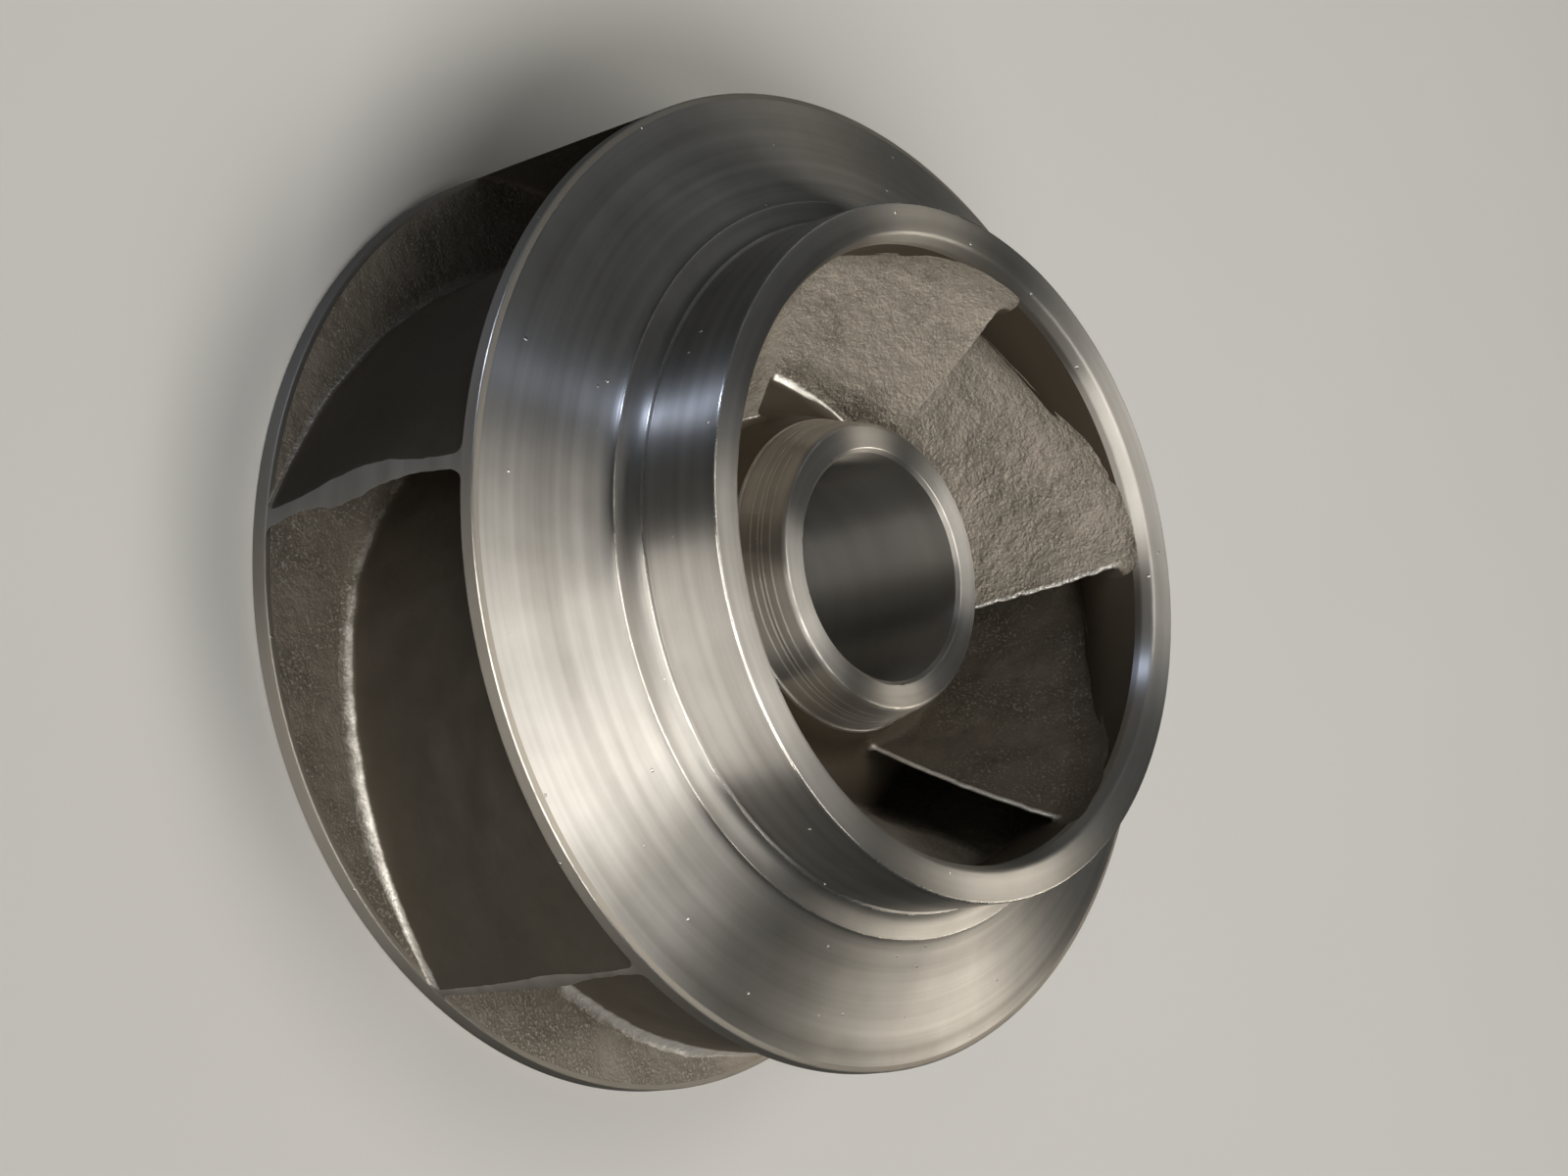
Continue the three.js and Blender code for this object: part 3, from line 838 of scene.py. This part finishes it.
def make_vane(sizes, number, materials):
    """A vane, made in the first one's place and turned to its own."""
    loop, edge, foot, top, side = vane_loop(sizes, number)
    # How far each point is ground and painted as a highlight, and how sandy and light it is painted
    ground_and_highlight = ground_and_highlight_share(sizes.fillet, number, edge, foot, top, side)
    sand_and_light = vane_sand_and_light(sizes.fillet, number, loop, foot, side)
    faces, on_rim = vane_faces(*loop.shape[:2])
    turn = np.array(Matrix.Rotation(number * 2 * np.pi / VANE_COUNT, 3, "Z"))
    points = loop.reshape(-1, 3) @ turn.T
    name = "vane_casting_%d" % (number + 1)
    return make_piece(name, points, faces, on_rim, materials, ground_and_highlight.ravel(), sand_and_light.ravel())


def add(tree, kind, inputs=None, out=0, **settings):
    """Adds a shader node with its settings. Each input, by its name or place, is linked to an
    output or set to a value. Returns the output asked for."""
    made = tree.nodes.new("ShaderNode" + kind)
    for name, value in settings.items():
        setattr(made, name, value)
    for key, value in (inputs or {}).items():
        if isinstance(value, bpy.types.NodeSocket):
            tree.links.new(value, made.inputs[key])
        else:
            made.inputs[key].default_value = value
    return made.outputs[out] if made.outputs else None


def noise(tree, place, size, detail=2, roughness=0.5):
    """Cloudy noise, about 0 to 1, whose clouds are of about that size."""
    inputs = {"Vector": place, "Scale": 1 / size, "Detail": detail, "Roughness": roughness}
    return add(tree, "TexNoise", inputs)


def remap(tree, value, known=(0, 1), wanted=(0, 1)):
    """A value carried from its known range to the wanted one, and held at the ends of that."""
    names = ("From Min", "From Max", "To Min", "To Max")
    return add(tree, "MapRange", {"Value": value, **dict(zip(names, (*known, *wanted)))})


def blend(tree, share, first, second):
    """The first colour where the share is 0, the second where it is 1, and mixed between."""
    inputs = {SHARE: share, FIRST: first, SECOND: second}
    return add(tree, "Mix", inputs, MIXED, data_type="RGBA")


def opaque(colour, share=1):
    """A colour, or a share of it, with full alpha."""
    return (*(share * part for part in colour), 1)


def empty_material(name):
    """A material and its emptied node tree."""
    material = bpy.data.materials.get(name) or bpy.data.materials.new(name)
    material.use_nodes = True
    material.node_tree.nodes.clear()
    return material, material.node_tree


def turned_space(tree):
    """The direction from the shaft axis as a unit vector and, as its third part, the distance
    across a turned face, which is radius minus height."""
    place = add(tree, "TexCoord", out="Object")
    flat = add(tree, "VectorMath", {0: place, 1: (1, 1, 0)}, operation="MULTIPLY")
    radius = add(tree, "VectorMath", {0: flat}, "Value", operation="LENGTH")
    outward = add(tree, "VectorMath", {0: flat}, operation="NORMALIZE")
    height = add(tree, "SeparateXYZ", {0: place}, "Z")
    across = add(tree, "Math", {0: radius, 1: height}, operation="SUBTRACT")
    third = add(tree, "CombineXYZ", {"Z": across})
    return add(tree, "VectorMath", {0: outward, 1: third}, operation="ADD")


def lathe_finish(name, finish, colour, dull, roughness, stretch, depth):
    """Steel with lathe marks: fine marks and broad bands run round the shaft, and smudges dull
    it. The marks' ridges stretch the highlight across them. A few dented nicks and its sharp
    edges are painted near white as highlights and made smoother."""
    material, tree = empty_material(name)
    place = add(tree, "TexCoord", out="Object")
    space = turned_space(tree)
    rings = []
    for drift, spacing in ((AROUND_DRIFT, finish.tool_marks), (BAND_DRIFT, TURNED_BAND)):
        cells = (drift, drift, 1 / spacing)
        stretched = add(tree, "VectorMath", {0: space, 1: cells}, operation="MULTIPLY")
        rings.append(noise(tree, stretched, 1))
    marks, bands = rings
    smudges = noise(tree, place, SMUDGE, detail=5)
    dulled = add(tree, "Math", {0: smudges, 1: 0.4, 2: bands}, operation="MULTIPLY_ADD")
    share = remap(tree, dulled, (0.5, 1))
    tone = blend(tree, share, opaque(colour), opaque(dull))
    rough = remap(tree, dulled, (0.5, 0.9), roughness)
    # Painted highlights: nicks and sharp edges turn near white and smoother
    spots = add(tree, "TexVoronoi", {"Vector": place, "Scale": 1 / NICK_SPACING})
    reach = NICK / NICK_SPACING
    nicks = remap(tree, spots, (0.5 * reach, reach), (1, 0))
    edges = add(tree, "Attribute", out="Fac", attribute_name="ground_and_highlight")
    wear = noise(tree, place, WEAR)
    ragged = add(tree, "Math", {0: wear, 1: 0.8, 2: edges}, operation="MULTIPLY_ADD")
    burnished_highlight = remap(tree, ragged, (1, 1.5))
    wear_and_highlight = add(tree, "Math", {0: nicks, 1: burnished_highlight}, operation="MAXIMUM")
    bright = blend(tree, wear_and_highlight, tone, opaque(finish.ground_and_highlight))
    smooth = remap(tree, wear_and_highlight, wanted=(rough, 0.6 * roughness[0]))
    ridged = add(tree, "Bump", {"Strength": 1, "Distance": depth, "Height": marks})
    nicked = add(tree, "Bump", {
        "Strength": 1, "Distance": NICK_DEPTH, "Height": nicks, "Normal": ridged,
    })
    tangent = add(tree, "VectorMath", {0: (0, 0, 1), 1: place}, operation="CROSS_PRODUCT")
    shader = add(tree, "BsdfPrincipled", {
        "Base Color": bright, "Metallic": 1, "Roughness": smooth, "Normal": nicked,
        "Anisotropic": stretch, "Anisotropic Rotation": 0.25, "Tangent": tangent,
    })
    add(tree, "OutputMaterial", {"Surface": shader})
    return material


def turned_steel(finish):
    """Lathe-turned steel, bare: silvery, with soft rays of light that lie across the fine rings.
    The real marks are 0.3 mm wide, too fine to show, so they are drawn at 1.4 mm."""
    return lathe_finish(
        "lathe_turned_steel", finish, finish.turned, finish.turned_dull,
        roughness=(0.38, 0.41), stretch=0.96, depth=0.002 * MM
    )


def bored_steel(finish):
    """Bored and honed steel: a little darker and duller than the turned faces, with bands of
    light that run along the bore."""
    return lathe_finish(
        "honed_bore_steel", finish, finish.bored, finish.turned,
        roughness=(0.44, 0.48), stretch=0.95, depth=0.003 * MM
    )


def skimmed_steel(finish):
    """Skimmed steel of the outer rim and the vane tips: matte grey with faint rings, because a
    coarse tool cut it across the vanes."""
    return lathe_finish(
        "skimmed_rim_steel", finish, finish.skimmed, finish.turned_dull,
        roughness=(0.5, 0.6), stretch=0.5, depth=0.006 * MM
    )


def cast_steel(finish):
    """Shot-blasted cast steel: warm dark grey with stains, soft lumps and a sandy grain whose tips
    are painted light as glints. Faces with little sand are painted dark as shade, and the lumps'
    dips a little darker as painted shade. Hand-ground edges and dressed strips are painted near
    white, partly as highlights. The blasted grain of about 0.5 mm is too fine to show, so it is
    drawn at 1.5 mm."""
    material, tree = empty_material("shot_blasted_cast_steel")
    place = add(tree, "TexCoord", out="Object")
    stains = noise(tree, place, STAIN, detail=4)
    lumps = noise(tree, place, LUMP, detail=4, roughness=0.55)
    grains = noise(tree, place, finish.grit)
    sand_and_light = add(tree, "Attribute", out="Fac", attribute_name="sand_and_light")
    # Painted light and shade: lightness follows the sand share, stains vary it, and the lumps
    # lighten their crests and darken their dips
    stained = remap(tree, stains, (0.35, 0.65), (-0.1, -0.7))
    mottled_and_shaded = add(tree, "Math", {0: lumps, 1: 0.6, 2: stained}, operation="MULTIPLY_ADD")
    lightness = add(tree, "Math", {0: sand_and_light, 1: mottled_and_shaded, 2: sand_and_light}, operation="MULTIPLY_ADD",
                    use_clamp=True)
    base = blend(tree, lightness, opaque(finish.cast_shaded), opaque(finish.cast))
    # Painted glints: light grain tips in patches, only on sandy faces
    glint_patches = remap(tree, stains, (0.42, 0.6), (0.1, 0.6))
    tips = remap(tree, grains, (0.54, 0.7), (0, glint_patches))
    blasted = remap(tree, sand_and_light, (0.1, 0.25))
    painted_glints = add(tree, "Math", {0: tips, 1: blasted}, operation="MULTIPLY")
    glinting = blend(tree, painted_glints, base, opaque(finish.cast_glint))
    # Ground edges and dressed strips, painted near white as highlights too
    ground_and_highlight = add(tree, "Attribute", out="Fac", attribute_name="ground_and_highlight")
    ragged = add(tree, "Math", {0: lumps, 1: 0.8, 2: ground_and_highlight}, operation="MULTIPLY_ADD")
    wear_and_highlight = remap(tree, ragged, (0.7, 1.45))
    tone = blend(tree, wear_and_highlight, glinting, opaque(finish.ground_and_highlight))
    rough = remap(tree, wear_and_highlight, wanted=(0.55, 0.4))
    metallic = remap(tree, wear_and_highlight, wanted=(0.45, 0.75))
    lumpy = add(tree, "Bump", {"Strength": sand_and_light, "Distance": LUMP_HEIGHT, "Height": lumps})
    sandy = add(tree, "Bump", {
        "Strength": sand_and_light, "Distance": GRAIN_HEIGHT, "Height": grains, "Normal": lumpy,
    })
    shader = add(tree, "BsdfPrincipled", {
        "Base Color": tone, "Metallic": metallic, "Roughness": rough, "Normal": sandy,
    })
    add(tree, "OutputMaterial", {"Surface": shader})
    return material


def floor_paint(finish):
    """Pale matt painted floor, plain and without gloss, slightly uneven in tone."""
    material, tree = empty_material("matt_floor_paint")
    place = add(tree, "TexCoord", out="Object")
    unevenness = noise(tree, place, FLOOR_PATCH, detail=3)
    tone = blend(tree, unevenness, opaque(finish.floor), opaque(finish.floor, 0.96))
    shader = add(tree, "BsdfPrincipled", {
        "Base Color": tone, "Roughness": 0.9, "Specular IOR Level": 0,
    })
    add(tree, "OutputMaterial", {"Surface": shader})
    return material


def make_floor(finish):
    """A wide square floor just under the impeller. It doesn't show in the steel and throws no
    light back on it."""
    turns = np.radians((-135, -45, 45, 135))
    corners = np.stack([np.cos(turns), np.sin(turns), np.zeros(4)], -1) * FLOOR_REACH
    corners = corners - UP * FLOOR_GAP
    floor = make_piece("stage_floor", corners, [(0, 1, 2, 3)], [0], [floor_paint(finish)])
    floor.visible_glossy = False
    floor.visible_diffuse = False


def towards_impeller(place):
    """The turn that points an object's -Z from that place at the middle of the impeller."""
    return (BOX_CENTRE - Vector(place)).to_track_quat("-Z", "Y")


def make_light(name, place, width, height, watts, colour, mirrored, matt):
    """A rectangular area light that faces the impeller and isn't seen itself."""
    lamp = bpy.data.lights.new(name, "AREA")
    lamp.shape = "RECTANGLE"
    lamp.size = width
    lamp.size_y = height
    lamp.energy = watts
    lamp.color = linear(colour)
    light = link_new(name, lamp)
    light.location = place
    light.rotation_euler = towards_impeller(place).to_euler()
    light.visible_camera = False
    light.visible_glossy = mirrored
    light.visible_diffuse = matt


def make_skylight():
    """Soft parallel light on what is matt, so that the floor is evenly pale to its edge."""
    lamp = bpy.data.lights.new("skylight", "SUN")
    lamp.energy = SKYLIGHT_STRENGTH
    lamp.angle = SKYLIGHT_WIDTH
    light = link_new("skylight", lamp)
    light.rotation_euler = Vector(SKYLIGHT_FROM).to_track_quat("Z", "Y").to_euler()
    light.visible_glossy = False


def make_camera():
    """A camera that looks at the middle of the impeller, turned about its own view line."""
    data = bpy.data.cameras.new("camera")
    data.lens = CAMERA_LENS
    data.sensor_width = SENSOR_WIDTH
    camera = link_new("camera", data)
    camera.location = CAMERA_PLACE
    aim = towards_impeller(CAMERA_PLACE).to_matrix()
    camera.rotation_euler = (aim @ Matrix.Rotation(CAMERA_TURN, 3, "Z")).to_euler()
    bpy.context.scene.camera = camera


def make_world():
    """Dim even light from all round, slightly cool."""
    world = bpy.data.worlds.get("studio") or bpy.data.worlds.new("studio")
    world.use_nodes = True
    tree = world.node_tree
    tree.nodes.clear()
    sky = add(tree, "Background", {"Color": opaque(WORLD_COLOUR), "Strength": WORLD_STRENGTH})
    add(tree, "OutputWorld", {"Surface": sky})
    bpy.context.scene.world = world


class IMPELLER_OT_hub(bpy.types.Operator):
    """Turned hub with its stepped nose and bore"""

    bl_idname = "impeller.hub"
    bl_label = "Hub"

    def execute(self, context):
        finish = context.scene.impeller_finish
        materials = [turned_steel(finish), bored_steel(finish)]
        sections = hub_sections(context.scene.impeller_sizes)
        hub = turned_piece("hub_turning", sections, materials, waviness=0, edge_sheen=0.85)
        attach(hub, "root")
        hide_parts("hub")
        return {"FINISHED"}


class IMPELLER_OT_back_shroud(bpy.types.Operator):
    """Cast back shroud, hollow behind, with a skimmed rim"""

    bl_idname = "impeller.back_shroud"
    bl_label = "Back shroud"

    def execute(self, context):
        sizes = context.scene.impeller_sizes
        finish = context.scene.impeller_finish
        materials = [cast_steel(finish), skimmed_steel(finish)]
        sections = back_sections(sizes)
        waves = sizes.waviness
        shroud = turned_piece("back_shroud_casting", sections, materials, waves, edge_sheen=0.3)
        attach(shroud, "root")
        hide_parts("hub_dome", "hub_cone", "back_shroud")
        return {"FINISHED"}


class IMPELLER_OT_front_shroud(bpy.types.Operator):
    """Turned front shroud with its suction ring, cast inside"""

    bl_idname = "impeller.front_shroud"
    bl_label = "Front shroud"

    def execute(self, context):
        sizes = context.scene.impeller_sizes
        finish = context.scene.impeller_finish
        materials = [turned_steel(finish), skimmed_steel(finish), cast_steel(finish)]
        sections = front_sections(sizes)
        waves = sizes.waviness
        shroud = turned_piece("front_shroud_turning", sections, materials, waves, edge_sheen=1)
        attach(shroud, "root")
        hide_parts("front_shroud", "suction_ring")
        return {"FINISHED"}


class IMPELLER_OT_vanes(bpy.types.Operator):
    """Six swept vanes with fillets, ground leading edges and skimmed tips"""

    bl_idname = "impeller.vanes"
    bl_label = "Vanes"

    def execute(self, context):
        finish = context.scene.impeller_finish
        materials = [cast_steel(finish), skimmed_steel(finish)]
        for number in range(VANE_COUNT):
            vane = make_vane(context.scene.impeller_sizes, number, materials)
            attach(vane, "root")
            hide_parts("vane_%d" % (number + 1))
        return {"FINISHED"}


class IMPELLER_OT_stage(bpy.types.Operator):
    """Pale floor, soft lights and the camera"""

    bl_idname = "impeller.stage"
    bl_label = "Stage"

    def execute(self, context):
        make_floor(context.scene.impeller_finish)
        make_world()
        for light in LIGHTS:
            make_light(*light)
        make_skylight()
        make_camera()
        context.scene.view_settings.view_transform = "Standard"
        return {"FINISHED"}


OPERATORS = (
    IMPELLER_OT_hub, IMPELLER_OT_back_shroud, IMPELLER_OT_front_shroud, IMPELLER_OT_vanes,
    IMPELLER_OT_stage,
)


class IMPELLER_PT_panel(bpy.types.Panel):
    """Sizes, finish and the steps that make the impeller"""

    bl_idname = "IMPELLER_PT_panel"
    bl_label = "Impeller"
    bl_space_type = "VIEW_3D"
    bl_region_type = "UI"
    bl_category = "Impeller"

    def draw(self, context):
        for group in (context.scene.impeller_sizes, context.scene.impeller_finish):
            box = self.layout.box()
            for name in group.__annotations__:
                box.prop(group, name)
        for operator in OPERATORS:
            self.layout.operator(operator.bl_idname)


CLASSES = (ImpellerSizes, ImpellerFinish, *OPERATORS, IMPELLER_PT_panel)


def register():
    """Registers the classes and gives the scene its settings."""
    for kind in CLASSES:
        bpy.utils.register_class(kind)
    bpy.types.Scene.impeller_sizes = bpy.props.PointerProperty(type=ImpellerSizes)
    bpy.types.Scene.impeller_finish = bpy.props.PointerProperty(type=ImpellerFinish)


def unregister():
    """Takes away what register gave, in the opposite order."""
    del bpy.types.Scene.impeller_finish
    del bpy.types.Scene.impeller_sizes
    for kind in reversed(CLASSES):
        bpy.utils.unregister_class(kind)


def main():
    register()
    bpy.ops.impeller.hub()
    bpy.ops.impeller.back_shroud()
    bpy.ops.impeller.front_shroud()
    bpy.ops.impeller.vanes()
    bpy.ops.impeller.stage()


if __name__ == "__main__":
    main()
